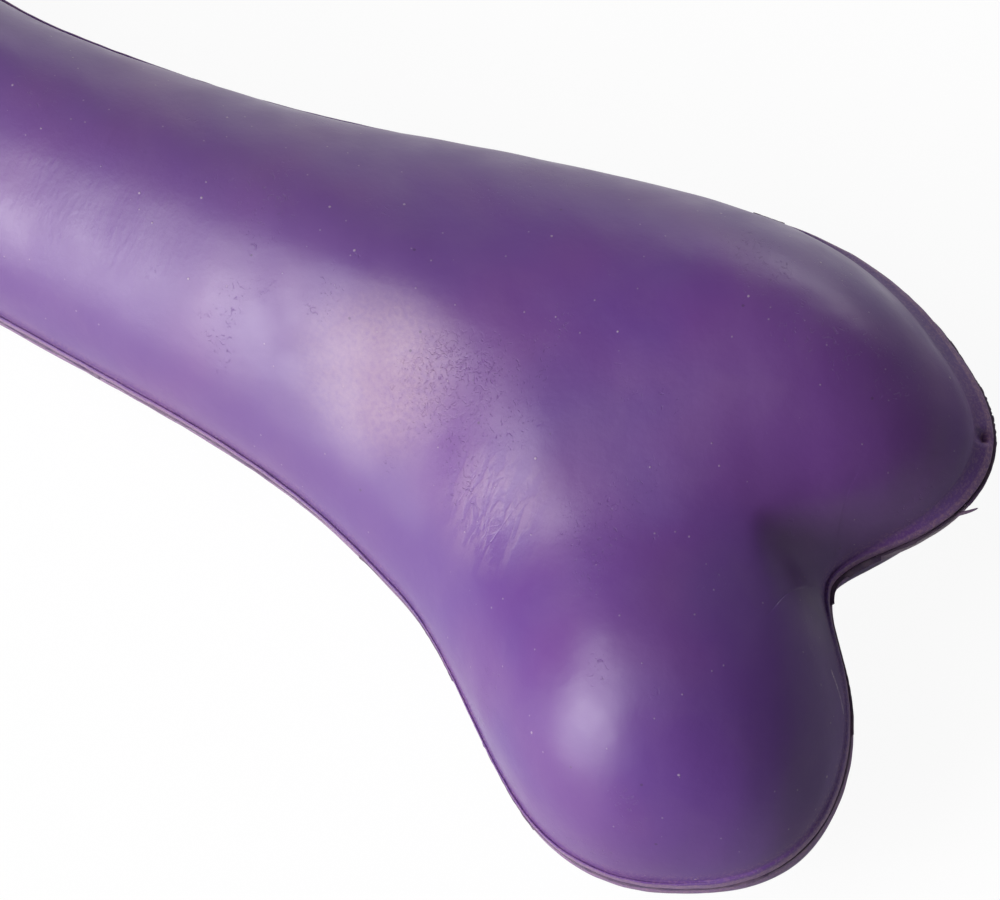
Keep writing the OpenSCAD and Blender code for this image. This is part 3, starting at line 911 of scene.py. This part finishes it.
# %% [markdown]
# ## The camera
#
# The camera stands where the photographer's seems to have stood: about 68 degrees up, past the head,
# and well back with a long lens, which flattens the view. The angle was found by fitting the bone's
# outline and shading to the photo. Aiming it by eye would do for a beauty shot but not for a likeness.

# %% Camera
scene = bpy.context.scene
AZIMUTH, ELEVATION, ROLL = (math.radians(v) for v in (-33.008, 68.42, -27.968))
AIM = Vector((56.77, -2.83 + middle_shift, seam_height)) * MM
DISTANCE, LENS = 0.693, 292.75
toward = Vector((
    math.cos(ELEVATION) * math.cos(AZIMUTH), math.cos(ELEVATION) * math.sin(AZIMUTH), math.sin(ELEVATION)
))
level = (-toward).cross(Vector((0, 0, 1))).normalized()
upright = level.cross(-toward)
right = level * math.cos(ROLL) + upright * math.sin(ROLL)
upward = upright * math.cos(ROLL) - level * math.sin(ROLL)
camera_data = bpy.data.cameras.new("camera")
camera = bpy.data.objects.new("camera", camera_data)
scene.collection.objects.link(camera)
turn = Matrix((right, upward, toward)).transposed().to_4x4()
camera.matrix_world = Matrix.Translation(AIM + toward * DISTANCE) @ turn
camera_data.lens = LENS
camera_data.clip_end = 10
scene.camera = camera
print(f"camera {math.degrees(ELEVATION):.1f} degrees up and {DISTANCE} m away, lens {LENS} mm")

# %% [markdown]
# ## Light and floor
#
# The highlights tell where the light was. One big soft box stood on the near side and gave the long
# milky streak down the shaft. It was brightest in its middle, so three boxes stand in for it here.
# Something white and low stood across from it and greys the far rim, a weak light hung overhead, and
# the end of the head faced the dark room. Each lamp's power was first found by rendering the lamps
# one at a time and weighing the renders against the photo, and then trimmed. Guessing alone would get
# there too, but far more slowly.
#
# The floor is plain white paper. For the camera it glows at just under full white, so the background
# is clean and the bone still throws a faint shadow. Reflections see it white too, but darker past
# the head and under the cleft. More light would whiten the paper as well, but it would also wash out
# the purple.


# %% Soft boxes
LIT_PLACE = Vector((0.05, 0, 0.02))  # the lamps face this place, about the middle of what is seen


def soft_box(name, azimuth, elevation, width, height, power, distance=0.9):
    """A rectangular lamp that faces the bone. Angles are in degrees round it and up."""
    a, e = math.radians(azimuth), math.radians(elevation)
    away = Vector((math.cos(e) * math.cos(a), math.cos(e) * math.sin(a), math.sin(e)))
    data = bpy.data.lights.new(name, "AREA")
    data.shape = "RECTANGLE"
    data.size, data.size_y, data.energy = width, height, power
    lamp = bpy.data.objects.new(name, data)
    scene.collection.objects.link(lamp)
    lamp.location = LIT_PLACE + away * distance
    lamp.rotation_euler = away.to_track_quat("Z", "Y").to_euler()


soft_box("key_light", -118, 36, 0.45, 0.45, 6.8)
soft_box("key_light_low", -119, 13, 0.50, 0.28, 2.3)
soft_box("key_light_high", -140, 62, 0.60, 0.42, 4.6)
soft_box("rim_light", 97, 9, 0.60, 0.28, 2.1)
soft_box("top_light", 0, 88, 0.45, 0.45, 0.6)


# %% Floor and world
def seen_as(tree, lit, ray, strength, share):
    """Adds a plain white glow to a shader for one kind of ray. Returns the new shader's output."""
    kind = "ShaderNodeBackground" if lit.node.type == "BACKGROUND" else "ShaderNodeEmission"
    glow, path = tree.nodes.new(kind), tree.nodes.new("ShaderNodeLightPath")
    glow.inputs["Color"].default_value = (1, 1, 1, 1)
    if isinstance(strength, bpy.types.NodeSocket):
        tree.links.new(strength, glow.inputs["Strength"])
    else:
        glow.inputs["Strength"].default_value = strength
    part, blend = tree.nodes.new("ShaderNodeMath"), tree.nodes.new("ShaderNodeMixShader")
    part.operation = "MULTIPLY"
    part.inputs[1].default_value = share
    tree.links.new(path.outputs[ray], part.inputs[0])
    tree.links.new(part.outputs[0], blend.inputs[0])
    tree.links.new(lit, blend.inputs[1])
    tree.links.new(glow.outputs[0], blend.inputs[2])
    return blend.outputs[0]


floor_mesh = bpy.data.meshes.new("floor")
floor_mesh.from_pydata([(-3, -3, 0), (3, -3, 0), (3, 3, 0), (-3, 3, 0)], [], [(0, 1, 2, 3)])
floor = bpy.data.objects.new("floor", floor_mesh)
scene.collection.objects.link(floor)
IN_CLEFT, CLEFT_REACH = (92, -4, -16), 20  # the paper below the cleft, which is in shadow
HEAD_X, DARK_X, DARKEST = 62, 102, 0.25  # where along the bone the room gets dark, and how dark
MIRRORED, SEEN, ROOM_GLOW = 0.95, 0.94, 0.02  # the paper's share of glow, and the room's own light
paper = Nodes("white_paper")
paper_colour = paper.mix(paper.noise(30, 3), (0.80, 0.80, 0.80), (0.82, 0.82, 0.82))
dress(floor, paper.finish(paper_colour, paper.span(paper.noise(12), 0, 1, 0.8, 0.9), None))
darkening = paper.span(paper.vector("DOT_PRODUCT", paper.mm, (1, 0, 0)), HEAD_X, DARK_X, 1.0, DARKEST)
in_cleft = paper.near(IN_CLEFT, CLEFT_REACH)
reflected = paper.math("MULTIPLY", darkening, paper.span(in_cleft, 0, 1, 1.0, 0.2))
mirrored = seen_as(paper.tree, paper.shader.outputs[0], "Is Glossy Ray", reflected, MIRRORED)
plain_white = seen_as(paper.tree, mirrored, "Is Camera Ray", 1.0, SEEN)
paper.put(paper.tree.nodes["Material Output"].inputs["Surface"], plain_white)

world = bpy.data.worlds.new("studio")
scene.world = world
world.use_nodes = True
room = world.node_tree.nodes["Background"]
room.inputs["Color"].default_value = (1, 1, 1, 1)
room.inputs["Strength"].default_value = ROOM_GLOW
white = seen_as(world.node_tree, room.outputs[0], "Is Camera Ray", 1.0, 1.0)
world.node_tree.links.new(white, world.node_tree.nodes["World Output"].inputs["Surface"])
scene.view_settings.view_transform = "Standard"
print("paper nodes:", len(paper.tree.nodes), "and world nodes:", len(world.node_tree.nodes))
